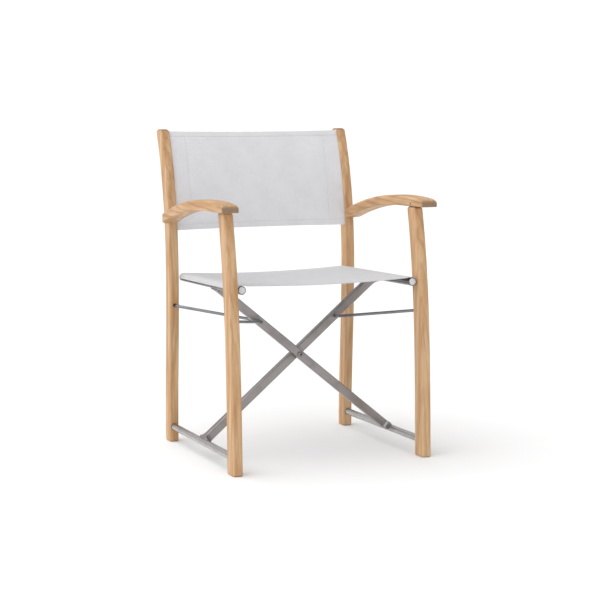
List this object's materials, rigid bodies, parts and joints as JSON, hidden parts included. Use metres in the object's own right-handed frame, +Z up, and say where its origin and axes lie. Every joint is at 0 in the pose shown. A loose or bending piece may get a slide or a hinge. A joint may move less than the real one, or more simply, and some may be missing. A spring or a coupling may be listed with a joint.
{
  "type": "director chair",
  "caption": "Folding armchair with wooden side frames, a crossed steel scissor frame and woven slings for the seat and back.",
  "frame": {"origin": "on the floor under the middle of the chair's box", "axes": "+X to the sitter's left-hand side as seen from the front, which is the right of a viewer who faces the chair; +Y to the back of the chair; +Z up"},
  "size_m": [0.607, 0.5645, 0.87],
  "materials": {
    "wood": "sanded, oiled teak",
    "satin_steel": "satin stainless steel",
    "polished_steel": "polished stainless steel",
    "nylon": "moulded white plastic",
    "mesh": "coated polyester mesh"
  },
  "bodies": {
    "side_left": {"front_leg_left": "wood", "rear_leg_left": "wood", "armrest_left": "wood", "arm_peg_left": "wood", "arm_dowels_left": "wood", "link_bushes_left": "nylon", "back_keder_left": "nylon", "back_sling": "mesh"},
    "cross_rear": {"stretcher_left": "satin_steel", "stretcher_plugs_left": "nylon", "cross_bar_rear": "satin_steel", "seat_rail_right": "satin_steel", "rail_caps_right": "nylon", "seat_keder_right": "nylon", "pivot_bush_rear": "nylon", "seat_sling": "mesh"},
    "cross_front": {"stretcher_right": "satin_steel", "stretcher_plugs_right": "nylon", "cross_bar_front": "satin_steel", "seat_rail_left": "satin_steel", "rail_caps_left": "nylon", "seat_keder_left": "nylon", "pivot_bush_front": "nylon", "pivot_bolt": "satin_steel", "pivot_nut": "satin_steel", "pivot_washers": "satin_steel", "pivot_spacer": "nylon"},
    "side_right": {"front_leg_right": "wood", "rear_leg_right": "wood", "armrest_right": "wood", "arm_peg_right": "wood", "arm_dowels_right": "wood", "link_bushes_right": "nylon", "back_keder_right": "nylon"},
    "link_left": {"link_rod_front_left": "polished_steel", "link_rod_rear_left": "polished_steel"},
    "link_right": {"link_rod_front_right": "polished_steel", "link_rod_rear_right": "polished_steel"}
  },
  "joints": [
    {"name": "fold", "type": "hinge", "parent": "side_left", "child": "cross_rear", "pos_m": [-0.2695, 0, 0.0425], "axis": [0, -1, 0], "range_deg": [0, 38.3], "deforming": ["seat_sling", "back_sling"]},
    {"name": "scissor_pivot", "type": "hinge", "parent": "cross_rear", "child": "cross_front", "pos_m": [0, 0, 0.26528], "axis": [0, -1, 0], "range_deg": [-80.87, 0]},
    {"name": "right_side_hinge", "type": "hinge", "parent": "cross_front", "child": "side_right", "pos_m": [0.2695, 0, 0.0425], "axis": [0, -1, 0], "range_deg": [0, 38.35]},
    {"name": "left_link_hinge", "type": "hinge", "parent": "side_left", "child": "link_left", "pos_m": [-0.2695, 0, 0.3862], "axis": [0, -1, 0], "range_deg": [0, 79.6]},
    {"name": "right_link_hinge", "type": "hinge", "parent": "side_right", "child": "link_right", "pos_m": [0.2695, 0, 0.3862], "axis": [0, -1, 0], "range_deg": [-79.6, 0]}
  ],
  "couplings": [
    {"joint": "scissor_pivot", "follows": "fold", "ratio": -2.1103},
    {"joint": "right_side_hinge", "follows": "fold", "ratio": 1},
    {"joint": "left_link_hinge", "follows": "fold", "ratio": 2.0771},
    {"joint": "right_link_hinge", "follows": "fold", "ratio": -2.0771}
  ]
}
